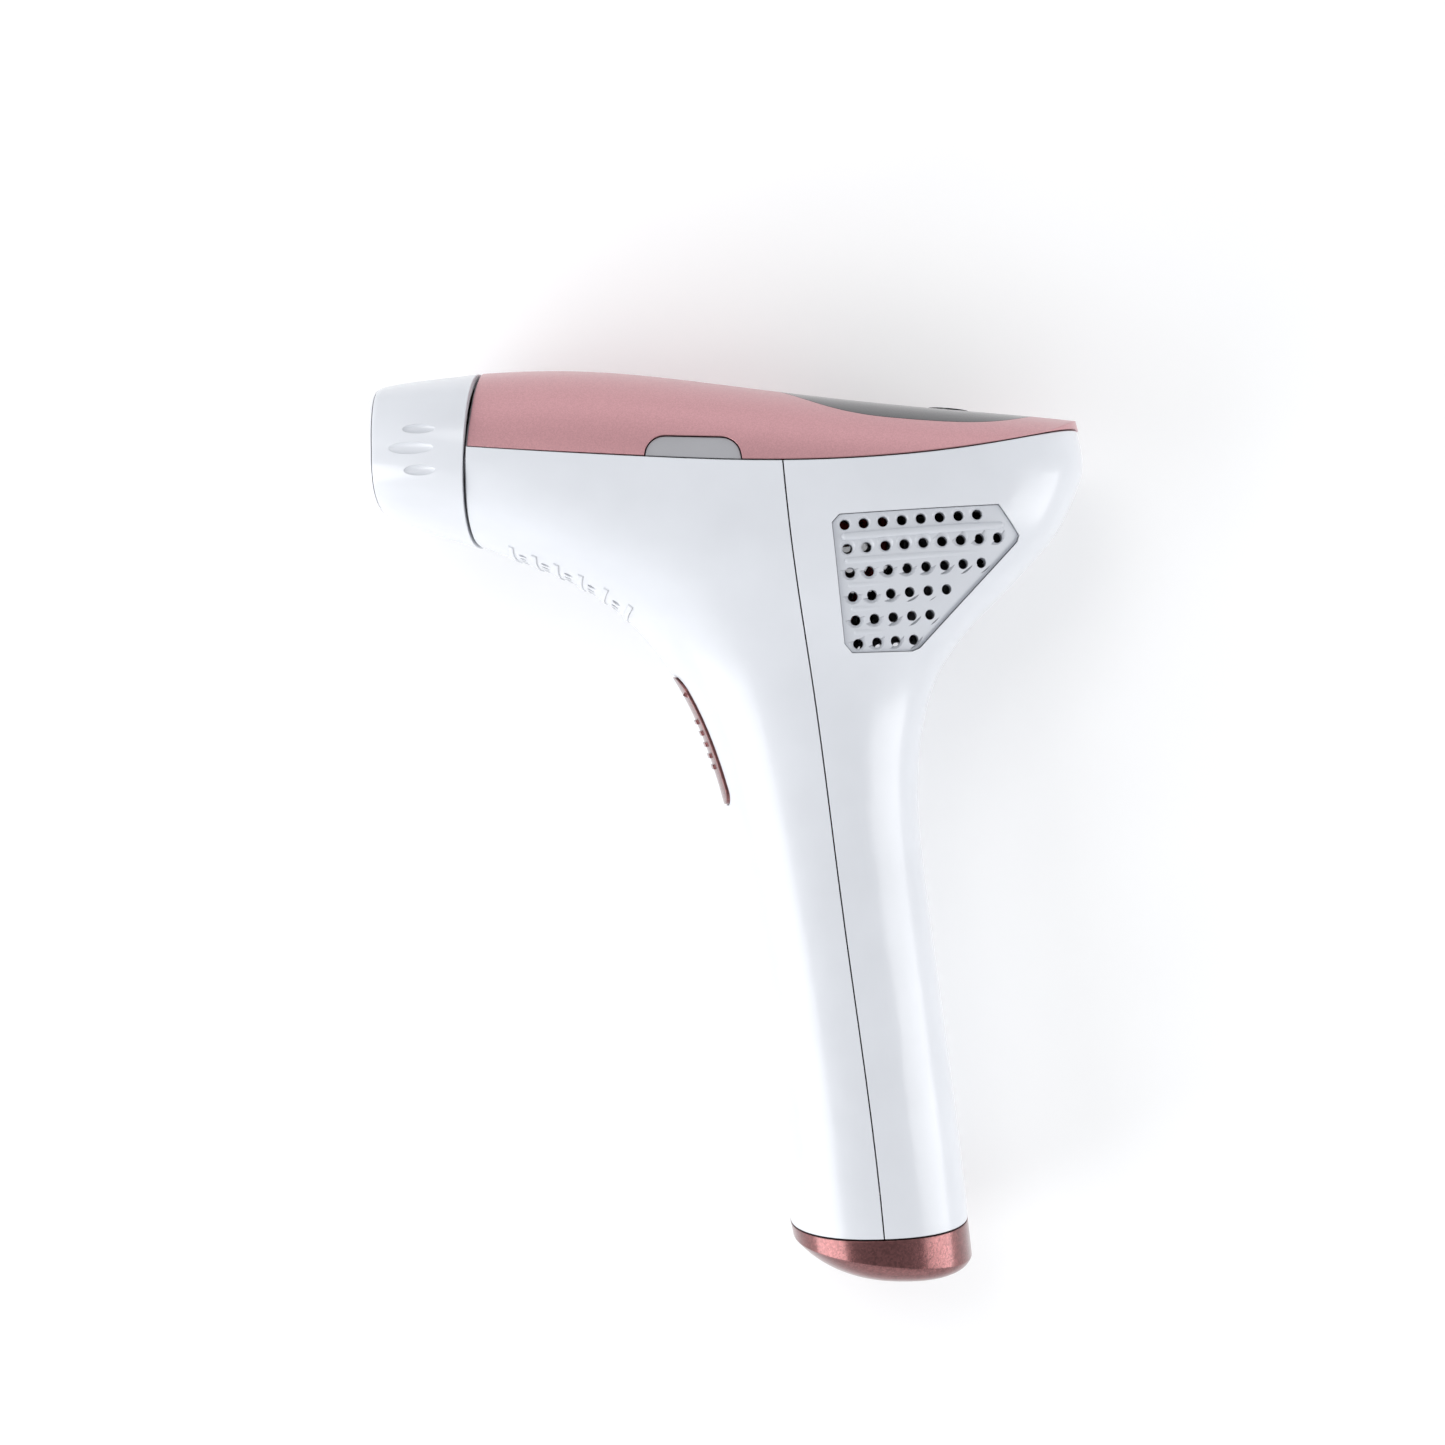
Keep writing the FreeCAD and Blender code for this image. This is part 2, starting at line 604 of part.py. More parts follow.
# ---------------------------------------------------------------------------
# Screws, springs and leads
# ---------------------------------------------------------------------------
def screw(head_at, direction, length, shank_radius, head_radius, head_height):
    """Pan-head screw: the head's outer face at head_at, pointing along direction."""
    axis = V(*direction)
    axis.normalize()
    start = V(*head_at)
    head = Part.makeCylinder(head_radius, head_height, start, axis)
    shank = Part.makeCylinder(shank_radius, length - head_height, start + axis * head_height, axis)
    slot_width = 0.28 * head_radius
    slot = Part.makeBox(2.6 * head_radius * 0.6, slot_width, 0.5 * head_height,
                        V(-0.78 * head_radius, -slot_width / 2, 0))
    cross = slot.copy()
    cross.rotate(V(0, 0, 0), V(0, 0, 1), 90)
    recess = slot.fuse(cross)
    recess.Placement = FreeCAD.Placement(start, FreeCAD.Rotation(V(0, 0, 1), axis)).multiply(recess.Placement)
    return head.fuse(shank).cut(recess)


def coil_spring(radius, wire_radius, turns, start, direction, length):
    """Round-wire compression spring from start along direction."""
    pitch = (length - 2 * wire_radius) / turns
    helix = Part.makeHelix(pitch, length - 2 * wire_radius, radius)
    run = V(0, 1, pitch / (2 * math.pi * radius))
    profile = Part.Wire([Part.makeCircle(wire_radius, V(radius, 0, 0), run)])
    coil = Part.Wire(helix).makePipeShell([profile], True, True)
    coil.translate(V(0, 0, wire_radius))
    axis = V(*direction)
    coil.Placement = FreeCAD.Placement(V(*start), FreeCAD.Rotation(V(0, 0, 1), axis)).multiply(coil.Placement)
    return coil


def lead(points, radius, bend):
    """Insulated wire: straight runs joined by tangent arcs."""
    corners = [V(*p) for p in points]
    edges = []
    last = corners[0]
    for before, corner, after in zip(corners, corners[1:], corners[2:]):
        back = (before - corner).normalize()
        ahead = (after - corner).normalize()
        half_angle = back.getAngle(ahead) / 2
        reach = bend / math.tan(half_angle)
        start = corner + back * reach
        end = corner + ahead * reach
        to_centre = (back + ahead).normalize()
        centre_distance = bend / math.sin(half_angle)
        middle = corner + to_centre * (centre_distance - bend)
        edges.append(Part.makeLine(last, start))
        edges.append(Part.Arc(start, middle, end).toShape())
        last = end
    edges.append(Part.makeLine(last, corners[-1]))
    path = Part.Wire(edges)
    direction = corners[1] - corners[0]
    profile = Part.Wire([Part.makeCircle(radius, corners[0], direction)])
    return path.makePipeShell([profile], True, False)


# ---------------------------------------------------------------------------
# Trigger, release buttons
# ---------------------------------------------------------------------------
TRIGGER_PIVOT = (-3.2, 36.6)
SPRING_Y = 29.2              # height of the trigger's return spring
SWITCH_Y = 16.2              # height of the trigger's switch
TRIGGER_RIB_Y = [13.6, 16.1, 18.6, 21.1, 23.6]


def flash_trigger():
    """Finger trigger: curved pad with small ribs, pivot ears and a switch boss."""
    slab = body_form(-TRIGGER_PROUD).cut(body_form(2.6))
    pad = slab.common(trigger_outline(0))
    rib_band = body_form(-TRIGGER_PROUD - 0.4).cut(body_form(0))
    for y in TRIGGER_RIB_Y:
        rib = box(-40, 20, y - 0.5, y + 0.5, -5.5, 5.5)
        pad = pad.fuse(rib_band.common(rib))
    px, py = TRIGGER_PIVOT
    for z0 in (-7.0, 5.0):
        ear = polygon_prism([(-7.0, 32.6), (-8.4, 29.5), (-3.4, 27.0), (px + 2.2, py), (px, py + 2.2),
                             (px - 2.0, py)], z0, z0 + 2.0)
        pad = pad.fuse(ear)
        pad = pad.cut(cylinder(1.05, (px, py, z0 - 1), (px, py, z0 + 3)))
    boss = box(-0.8, 6.2, 14.6, 17.8, -2.2, 2.2).cut(body_form(-1).cut(body_form(1.8)))
    spring_seat = box(-6.2, 1.9, SPRING_Y - 2.4, SPRING_Y + 1.6, -2.6, 2.6)
    spring_seat = spring_seat.cut(body_form(-1).cut(body_form(1.8)))
    return pad.fuse([boss, spring_seat])


def trigger_pin():
    """Pivot pin of the trigger."""
    px, py = TRIGGER_PIVOT
    return cylinder(1.0, (px, py, -10.4), (px, py, 10.4))


def trigger_bracket():
    """Inner bracket that carries the pivot pin and the trigger's switch board."""
    px, py = TRIGGER_PIVOT
    parts = []
    for z0 in (-11.4, 8.4):
        side = polygon_prism([(px - 2.4, py + 2.6), (px - 2.4, py - 1.6), (6.5, 27.0), (13.0, 27.0),
                              (13.0, py + 2.6)], z0, z0 + 3.0)
        side = side.cut(cylinder(1.03, (px, py, z0 - 1), (px, py, z0 + 4)))
        parts.append(side)
    bridge = box(10.8, 13.0, 6.0, py + 2.6, -11.4, 11.4)
    return parts[0].fuse([parts[1], bridge])


def trigger_board():
    """Small circuit board behind the trigger."""
    return box(9.4, 10.8, 8.0, 26.0, -8.0, 8.0)


def trigger_switch():
    """Body of the small push switch."""
    body = box(7.6, 9.4, SWITCH_Y - 3.2, SWITCH_Y + 3.2, -3.2, 3.2)
    return body.cut(cylinder(1.3, (6.0, SWITCH_Y, 0), (9.5, SWITCH_Y, 0)))


def switch_plunger():
    """Plunger of the push switch, pressed by the trigger's boss."""
    return cylinder(1.2, (6.35, SWITCH_Y, 0), (8.3, SWITCH_Y, 0))


def release_button():
    """Side button of the left side with its flange and the latch arm to the lamp head."""
    face = body_form(0).common(crown_form(BUTTON_SINK)).common(above_parting_line(SEAM_GAP))
    pad = face.common(release_prism(-SEAM_GAP)).cut(body_form(WALL + 0.6).common(crown_form(WALL + 0.6)))
    stem = box(-12.0, 1.0, 79.8, 82.2, 22.0, 28.6)
    flange = box(-17.0, 6.0, 77.4, 84.4, 21.6, 23.4)
    arm = box(-59.2, -12.0, 79.6, 83.4, 21.6, 23.4)
    barb = box(-59.2, -57.6, 79.6, 83.4, 23.4, 24.6)
    return pad.fuse([stem, flange, arm, barb])


# ---------------------------------------------------------------------------
# Lamp head
# ---------------------------------------------------------------------------
LAMP_X = -62.3
LAMP_Y = 83.2
LAMP_RADIUS = 2.6
LAMP_HALF_LENGTH = 19.0
SENSOR_Z = 18.8
SENSOR_RADIUS = 0.8
# Finger scoops: (front x, back x, height, half width)
GRIP_SCOOPS = [(-67.2, -60.0, 85.4, 1.0), (-70.6, -60.3, 81.4, 1.25), (-67.0, -60.0, 76.7, 1.15)]
SCOOP_DEPTH = 0.75


def window_block(grow, x0, x1):
    """Block with the light window's rounded outline between two stations."""
    half_length = WINDOW_HALF_LENGTH + grow
    half_height = WINDOW_HALF_HEIGHT + grow
    block = box(x0, x1, LAMP_Y - half_height, LAMP_Y + half_height, -half_length, half_length)
    lengthwise = [e for e in block.Edges if abs(e.Vertexes[0].X - e.Vertexes[-1].X) > 0.9 * (x1 - x0)]
    return block.makeFillet(2.0 + grow, lengthwise)


def head_side_z(x, y):
    """Distance of the lamp head's side from the middle plane."""
    middle, half_width, above, below, exponent = head_size_at(x)
    reach = (y - middle) / (above if y > middle else below)
    return half_width * (1 - abs(reach) ** exponent) ** (1 / exponent)


def grip_scoops():
    """Long rounded finger scoops of the left side, sloping with it."""
    scoops = []
    for front_x, back_x, y, half_width in GRIP_SCOOPS:
        half_length = (back_x - front_x) / 2
        middle_x = (front_x + back_x) / 2
        rise = head_side_z(back_x, y) - head_side_z(front_x, y)
        grow = FreeCAD.Matrix()
        grow.scale(half_length, half_width, SCOOP_DEPTH)
        scoop = Part.makeSphere(1.0).transformGeometry(grow)
        scoop.rotate(V(0, 0, 0), V(0, 1, 0), -math.degrees(math.atan2(rise, back_x - front_x)))
        scoop.translate(V(middle_x, y, head_side_z(middle_x, y)))
        scoops.append(scoop)
    return scoops


def head_shell():
    """White lamp-head casing, open to the front bezel and to the body."""
    shell = head_form().cut(head_core(HEAD_WALL))
    shell = shell.common(in_front_of_head_plane(GASKET_THICK + HEAD_GAP))
    shell = shell.common(box(BEZEL_BACK_X, 0, 0, 130, -60, 60))
    catch = box(-57.2, -55.4, 78.8, 84.2, 24.9, 27.4)
    shell = shell.fuse([catch, mirrored(catch)])
    for scoop in grip_scoops():
        shell = shell.cut(scoop).cut(mirrored(scoop))
    return shell


def window_bezel():
    """Front frame of the lamp head round the light window."""
    front = head_form().common(box(-90, BEZEL_BACK_X - 0.15, 0, 130, -60, 60))
    front = front.cut(window_block(0, -90, -60))
    front = front.cut(window_block(1.2, HEAD_FRONT_X + 1.0, -60))
    for z in (-SENSOR_Z, SENSOR_Z):
        front = front.cut(cylinder(SENSOR_RADIUS + 0.02, (-85, LAMP_Y, z), (-70, LAMP_Y, z)))
    return front


def light_window():
    """Filter glass plate behind the bezel's opening."""
    return window_block(1.1, HEAD_FRONT_X + 1.05, HEAD_FRONT_X + 2.8)


def skin_sensor_pads():
    """Two contact pads standing a little out of the bezel's face."""
    pads = []
    for z in (-SENSOR_Z, SENSOR_Z):
        start = (HEAD_FRONT_X - 0.15, LAMP_Y, z)
        pads.append(cylinder(SENSOR_RADIUS, start, (HEAD_FRONT_X + 1.0, LAMP_Y, z)))
    return Part.makeCompound(pads)


def reflector():
    """Bright trough round the lamp, open to the window."""
    depth_back = -58.2
    mouth = HEAD_FRONT_X + 3.6
    outer = [V(mouth, LAMP_Y + 6.0, 0), V(depth_back - 2.0, LAMP_Y + 4.4, 0), V(depth_back, LAMP_Y, 0),
             V(depth_back - 2.0, LAMP_Y - 4.4, 0), V(mouth, LAMP_Y - 6.0, 0)]
    curve = Part.BSplineCurve()
    curve.interpolate(outer)
    outer_face = Part.Face(Part.Wire([curve.toShape(), Part.makeLine(outer[-1], outer[0])]))
    thick = 0.7
    inner = [V(mouth - 0.01, LAMP_Y + 6.0 - thick, 0), V(depth_back - 2.0 - 0.5, LAMP_Y + 4.4 - thick, 0),
             V(depth_back - thick, LAMP_Y, 0), V(depth_back - 2.0 - 0.5, LAMP_Y - 4.4 + thick, 0),
             V(mouth - 0.01, LAMP_Y - 6.0 + thick, 0)]
    curve = Part.BSplineCurve()
    curve.interpolate(inner)
    inner_face = Part.Face(Part.Wire([curve.toShape(), Part.makeLine(inner[-1], inner[0])]))
    half = WINDOW_HALF_LENGTH - 0.5
    trough = outer_face.extrude(V(0, 0, 2 * half)).cut(inner_face.extrude(V(0, 0, 2 * half)))
    trough.translate(V(0, 0, -half))
    return trough


def flash_lamp():
    """Glass tube of the flash lamp."""
    wall = 0.6
    bottom = (LAMP_X, LAMP_Y, -LAMP_HALF_LENGTH)
    top = (LAMP_X, LAMP_Y, LAMP_HALF_LENGTH)
    return cylinder(LAMP_RADIUS, bottom, top).cut(cylinder(LAMP_RADIUS - wall, bottom, top))


def lamp_electrodes():
    """Metal ends of the lamp with their rods inside the tube."""
    ends = []
    for sign in (-1, 1):
        cap = cylinder(LAMP_RADIUS, (LAMP_X, LAMP_Y, sign * (LAMP_HALF_LENGTH + 0.05)),
                       (LAMP_X, LAMP_Y, sign * (LAMP_HALF_LENGTH + 2.6)))
        rod = cylinder(0.7, (LAMP_X, LAMP_Y, sign * (LAMP_HALF_LENGTH - 4.5)),
                       (LAMP_X, LAMP_Y, sign * (LAMP_HALF_LENGTH + 0.2)))
        tip = cylinder(1.3, (LAMP_X, LAMP_Y, sign * (LAMP_HALF_LENGTH - 6.0)),
                       (LAMP_X, LAMP_Y, sign * (LAMP_HALF_LENGTH - 4.5)))
        ends.append(cap.fuse([rod, tip]))
    return Part.makeCompound(ends)


def lamp_holder():
    """Inner frame of the lamp head: end cheeks, back plate and the plug to the body."""
    back = box(-57.6, -55.4, LAMP_Y - 9.5, LAMP_Y + 9.5, -19.0, 19.0)
    plug = box(-55.4, -48.0, LAMP_Y - 5.0, LAMP_Y + 5.0, -15.0, 15.0)
    holder = back.fuse(plug)
    for z0 in (-19.8, 17.0):
        cheek = box(-72.4, -57.6, LAMP_Y - 7.0, LAMP_Y + 7.0, z0, z0 + 2.8)
        cheek = cheek.cut(cylinder(LAMP_RADIUS + 0.1, (LAMP_X, LAMP_Y, z0 - 1), (LAMP_X, LAMP_Y, z0 + 4)))
        holder = holder.fuse(cheek)
    return holder


def head_contacts():
    """Brass blades on the plug, above and below."""
    blades = []
    for z in (-10.5, -3.5, 3.5, 10.5):
        blades.append(box(-53.0, -47.6, LAMP_Y + 5.02, LAMP_Y + 5.5, z - 1.6, z + 1.6))
    return Part.makeCompound(blades)


# ---------------------------------------------------------------------------
# Inside the body
# ---------------------------------------------------------------------------
FAN_X = (8.0, 18.0)
FAN_CENTRE_Y = 68.0
FAN_HALF = 20.0
FAN_BORE = 18.4
FAN_SCREW_OFFSET = 16.4
BULKHEAD_X = (18.1, 20.3)
POWER_BOARD_Y = 72.0
CONTROL_BOARD_Y = 84.6
BOARD_THICK = 1.6
CAPACITOR_TOP = (24.6, -6.0, 0.0)
CAPACITOR_BOTTOM = (32.6, -64.0, 0.0)
CAPACITOR_RADIUS = 13.5


def socket_frame():
    """Socket in the body's neck for the lamp head's plug."""
    plate = box(-51.6, -49.2, LAMP_Y - 12.0, LAMP_Y + 8.6, -19.0, 19.0)
    housing = box(-49.2, -43.4, LAMP_Y - 8.0, LAMP_Y + 8.6, -18.0, 18.0)
    frame = plate.fuse(housing)
    return frame.cut(box(-60, -45.4, LAMP_Y - 5.4, LAMP_Y + 6.6, -15.4, 15.4))


def socket_contacts():
    """Spring tongues in the socket that meet the head's contact blades."""
    tongues = []
    for z in (-10.5, -3.5, 3.5, 10.5):
        tongues.append(box(-48.8, -45.4, LAMP_Y + 6.0, LAMP_Y + 6.5, z - 1.4, z + 1.4))
    return Part.makeCompound(tongues)


def heatsink():
    """Finned aluminium block behind the socket."""
    base = box(-43.2, -40.6, 66.0, 93.0, -17.0, 17.0)
    fins = []
    count = 9
    for k in range(count):
        z = -17.0 + k * (34.0 - 1.2) / (count - 1)
        fins.append(box(-40.6, -22.0, 66.0, 93.0, z, z + 1.2))
    block = base.fuse(fins)
    corner = polygon_prism([(-44, 60), (-20, 60), (-20, 68.5), (-44, 62)], -30, 30)
    return block.cut(corner)


def fan_frame():
    """Square fan housing with a hub plate on three struts."""
    x0, x1 = FAN_X
    frame = box(x0, x1, FAN_CENTRE_Y - FAN_HALF, FAN_CENTRE_Y + FAN_HALF, -FAN_HALF, FAN_HALF)
    long_edges = [e for e in frame.Edges if abs(e.Vertexes[0].X - e.Vertexes[-1].X) > 5]
    frame = frame.makeFillet(2.5, long_edges)
    frame = frame.cut(cylinder(FAN_BORE, (x0 - 1, FAN_CENTRE_Y, 0), (x1 + 1, FAN_CENTRE_Y, 0)))
    frame = frame.fuse(cylinder(9.0, (x1 - 1.4, FAN_CENTRE_Y, 0), (x1, FAN_CENTRE_Y, 0)))
    for k in range(3):
        strut = box(x1 - 1.4, x1, FAN_CENTRE_Y, FAN_CENTRE_Y + FAN_BORE + 0.6, -1.2, 1.2)
        strut.rotate(V(0, FAN_CENTRE_Y, 0), V(1, 0, 0), 120 * k)
        frame = frame.fuse(strut)
    frame = frame.fuse(cylinder(1.5, (x0 + 3.0, FAN_CENTRE_Y, 0), (x1 - 1.0, FAN_CENTRE_Y, 0)))
    for y_side in (-1, 1):
        for z_side in (-1, 1):
            y = FAN_CENTRE_Y + y_side * FAN_SCREW_OFFSET
            z = z_side * FAN_SCREW_OFFSET
            frame = frame.cut(cylinder(1.4, (x0 - 1, y, z), (x1 + 1, y, z)))
    return frame


def fan_rotor():
    """Fan wheel with seven raked blades on its hub."""
    x0, x1 = FAN_X
    hub = cylinder(8.6, (x0 + 0.8, FAN_CENTRE_Y, 0), (x1 - 2.0, FAN_CENTRE_Y, 0))
    blades = []
    for k in range(7):
        blade = box(x0 + 4.4, x0 + 5.6, FAN_CENTRE_Y + 8.0, FAN_CENTRE_Y + 17.4, -5.2, 5.2)
        blade.rotate(V(x0 + 5.0, FAN_CENTRE_Y, 0), V(0, 1, 0), 32)
        blade = blade.common(box(x0 + 1.2, x1 - 2.2, 0, 130, -30, 30))
        blade.rotate(V(0, FAN_CENTRE_Y, 0), V(1, 0, 0), 360 / 7 * k)
        blades.append(blade)
    rotor = hub.fuse(blades)
    return rotor.cut(cylinder(1.55, (x0 + 2.6, FAN_CENTRE_Y, 0), (x1, FAN_CENTRE_Y, 0)))


def fan_screws():
    """Four screws that hold the fan to the bulkhead."""
    screws = []
    for y_side in (-1, 1):
        for z_side in (-1, 1):
            y = FAN_CENTRE_Y + y_side * FAN_SCREW_OFFSET
            z = z_side * FAN_SCREW_OFFSET
            screws.append(screw((FAN_X[0] - 1.5, y, z), (1, 0, 0), 14.0, 1.2, 2.3, 1.5))
    return Part.makeCompound(screws)


def chassis():
    """Inner frame: bulkhead with the air opening, rails for the boards, stops for the springs."""
    x0, x1 = BULKHEAD_X
    bulkhead = box(x0, x1, 46.0, 88.2, -22.0, 22.0)
    long_edges = [e for e in bulkhead.Edges if abs(e.Vertexes[0].X - e.Vertexes[-1].X) > 1.5]
    bulkhead = bulkhead.makeFillet(6.0, long_edges)
    bulkhead = bulkhead.cut(cylinder(17.4, (x0 - 1, FAN_CENTRE_Y, 0), (x1 + 1, FAN_CENTRE_Y, 0)))
    frame = bulkhead
    for side in (-1, 1):
        low, high = sorted((side * 18.4, side * 21.2))
        frame = frame.fuse(box(x0, 66.0, POWER_BOARD_Y - 3.4, POWER_BOARD_Y - 0.05, low, high))
        low, high = sorted((side * 13.5, side * 16.5))
        frame = frame.fuse(box(x0, 60.0, CONTROL_BOARD_Y - 2.6, CONTROL_BOARD_Y - 0.05, low, high))
        low, high = sorted((side * 20.4, side * 22.6))
        frame = frame.fuse(box(-13.0, x0 + 1.0, 74.0, 76.0, low, high))
        low, high = sorted((side * 15.2, side * 22.6))
        frame = frame.fuse(box(-15.0, 5.0, 74.0, 76.0, low, high))
        low, high = sorted((side * 13.2, side * 15.2))
        frame = frame.fuse(box(-15.0, 5.0, 74.0, 84.8, low, high))
    for y_side in (-1, 1):
        for z_side in (-1, 1):
            y = FAN_CENTRE_Y + y_side * FAN_SCREW_OFFSET
            z = z_side * FAN_SCREW_OFFSET
            frame = frame.cut(cylinder(1.22, (x0 - 1, y, z), (x1 + 1, y, z)))
    return frame


def power_board():
    """Main circuit board across the rear of the body."""
    y = POWER_BOARD_Y
    return box(21.6, 66.0, y, y + BOARD_THICK, -21.2, 21.2)


def transformer():
    """Ferrite transformer with its winding."""
    y = POWER_BOARD_Y - 0.05
    core = box(48.0, 62.0, y - 12.0, y, -8.0, 8.0)
    window = box(51.0, 59.0, y - 9.4, y - 2.6, -9.0, 9.0)
    winding = box(51.6, 58.4, y - 9.0, y - 3.0, -9.6, 9.6)
    return core.cut(window).fuse(winding).fuse(box(50.9, 59.1, y - 6.6, y - 5.4, -7.0, 7.0))


def trigger_coil():
    """Small ignition coil on the main board."""
    y = POWER_BOARD_Y + BOARD_THICK + 0.05
    coil = cylinder(4.0, (26.0, y + 4.6, -12.0), (26.0, y + 4.6, -1.0))
    foot = box(22.4, 29.6, y, y + 1.6, -12.6, -0.4)
    return coil.fuse(foot)


def power_transistors():
    """Row of power transistors on the main board."""
    y = POWER_BOARD_Y + BOARD_THICK + 0.05
    return Part.makeCompound([box(x, x + 4.4, y, y + 7.5, 10.0, 18.0) for x in (26.0, 34.0, 42.0)])


def board_screws():
    """Screws of the main board and the control board."""
    screws = []
    for x in (24.6, 62.8):
        for side in (-1, 1):
            head_at = (x, POWER_BOARD_Y + BOARD_THICK + 1.2, side * 19.8)
            screws.append(screw(head_at, (0, -1, 0), 4.4, 0.9, 1.6, 1.2))
    for x in (22.6, 58.0):
        for side in (-1, 1):
            head_at = (x, CONTROL_BOARD_Y + BOARD_THICK + 1.2, side * 14.8)
            screws.append(screw(head_at, (0, -1, 0), 4.4, 0.9, 1.5, 1.2))
    return Part.makeCompound(screws)


def board_screw_holes():
    """Holes for the board screws."""
    holes = []
    for x in (24.6, 62.8):
        for side in (-1, 1):
            z = side * 19.8
            holes.append(cylinder(0.95, (x, POWER_BOARD_Y - 4.5, z), (x, POWER_BOARD_Y + 3, z)))
    for x in (22.6, 58.0):
        for side in (-1, 1):
            holes.append(cylinder(0.95, (x, CONTROL_BOARD_Y - 4.5, side * 14.8),
                                  (x, CONTROL_BOARD_Y + 3, side * 14.8)))
    return Part.makeCompound(holes)


def control_board():
    """Circuit board below the display window."""
    y = CONTROL_BOARD_Y
    return box(20.6, 60.0, y, y + BOARD_THICK, -16.4, 16.4)


def display_module():
    """Light box of the display under the window."""
    y = CONTROL_BOARD_Y + BOARD_THICK + 0.05
    return box(24.6, 43.0, y, y + 3.6, -10.0, 10.0)


def button_switch():
    """Push switch under the power button."""
    x = POWER_BUTTON[0]
    y = CONTROL_BOARD_Y + BOARD_THICK + 0.05
    return box(x - 2.6, x + 2.6, y, y + 1.1, -2.6, 2.6)


def capacitor():
    """Energy capacitor in the handle, with a rolled rim and a vent cross."""
    can = cylinder(CAPACITOR_RADIUS, CAPACITOR_TOP, CAPACITOR_BOTTOM)
    rims = [e for e in can.Edges if len(e.Vertexes) == 1]
    return can.makeFillet(1.0, rims)


def dc_jack():
    """Supply socket behind the inlet hole of the end cap."""
    block = box(JACK_X - 5.2, JACK_X + 5.2, CAP_BOTTOM + CAP_FLOOR + 0.1, -84.0, -4.6, 4.6)
    bore = cylinder(2.9, (JACK_X, CAP_BOTTOM - 1, 0), (JACK_X, -87.0, 0))
    pin = cylinder(1.0, (JACK_X, CAP_BOTTOM + 3.2, 0), (JACK_X, -86.5, 0))
    return block.cut(bore).fuse(pin)


def cap_screws():
    """Two screws that hold the end cap."""
    return Part.makeCompound([screw((x, CAP_BOTTOM + 0.05, 0), (0, 1, 0), 14.5, 1.0, 2.0, 1.45)
                              for x in CAP_SCREW_X])


def release_spring():
    """Return spring of the left side button."""
    return coil_spring(2.3, 0.3, 5, (-5.5, 80.9, 15.3), (0, 0, 1), 6.2)


def trigger_spring():
    """Return spring between the trigger's boss and its bracket."""
    return coil_spring(1.9, 0.3, 6, (2.3, SPRING_Y, 0.0), (1, 0, 0), 8.5)


def leads_power():
    """Wires from the capacitor in the handle up to the main board."""
    wires = []
    for side in (-1, 1):
        points = [(24.8, -5.6, side * 4.0), (25.4, 6.0, side * 4.0), (27.0, 44.0, side * 6.0),
                  (36.0, 62.0, side * 6.0), (36.0, POWER_BOARD_Y - 0.1, side * 6.0)]
        wires.append(lead(points, 0.9, 4.0))
    return Part.makeCompound(wires)


def leads_supply():
    """Wires from the supply socket up behind the capacitor to the main board."""
    wires = []
    for side in (-1, 1):
        points = [(JACK_X, -83.9, side * 2.4), (JACK_X, -78.0, side * 2.4), (35.0, -70.0, side * 15.4),
                  (24.0, 8.0, side * 15.4), (33.0, 50.0, side * 15.4), (42.0, 62.0, side * 15.4),
                  (42.0, POWER_BOARD_Y - 0.1, side * 15.4)]
        wires.append(lead(points, 0.65, 4.0))
    return Part.makeCompound(wires)


def leads_lamp():
    """Heavy wires from the main board past the fan to the lamp socket."""
    wires = []
    for side in (-1, 1):
        points = [(-46.3, 78.0, side * 18.05), (-46.3, 78.0, side * 20.8), (-46.3, 70.0, side * 20.8),
                  (-36.0, 70.0, side * 21.4), (-18.0, 70.0, side * 23.6), (20.0, 70.0, side * 23.8),
                  (26.0, 65.5, side * 22.0), (31.0, 65.5, side * 15.0),
                  (31.0, POWER_BOARD_Y - 0.1, side * 15.0)]
        wires.append(lead(points, 0.8, 2.0))
    return Part.makeCompound(wires)


def lead_trigger():
    """Thin wire pair from the trigger board to the control board, drawn as one ribbon."""
    points = [(10.1, 26.1, -6.0), (8.4, 31.0, -6.0), (8.4, 41.0, -6.0), (23.5, 44.0, -10.0),
              (23.5, POWER_BOARD_Y - 0.1, -10.0)]
    return lead(points, 0.6, 3.0)


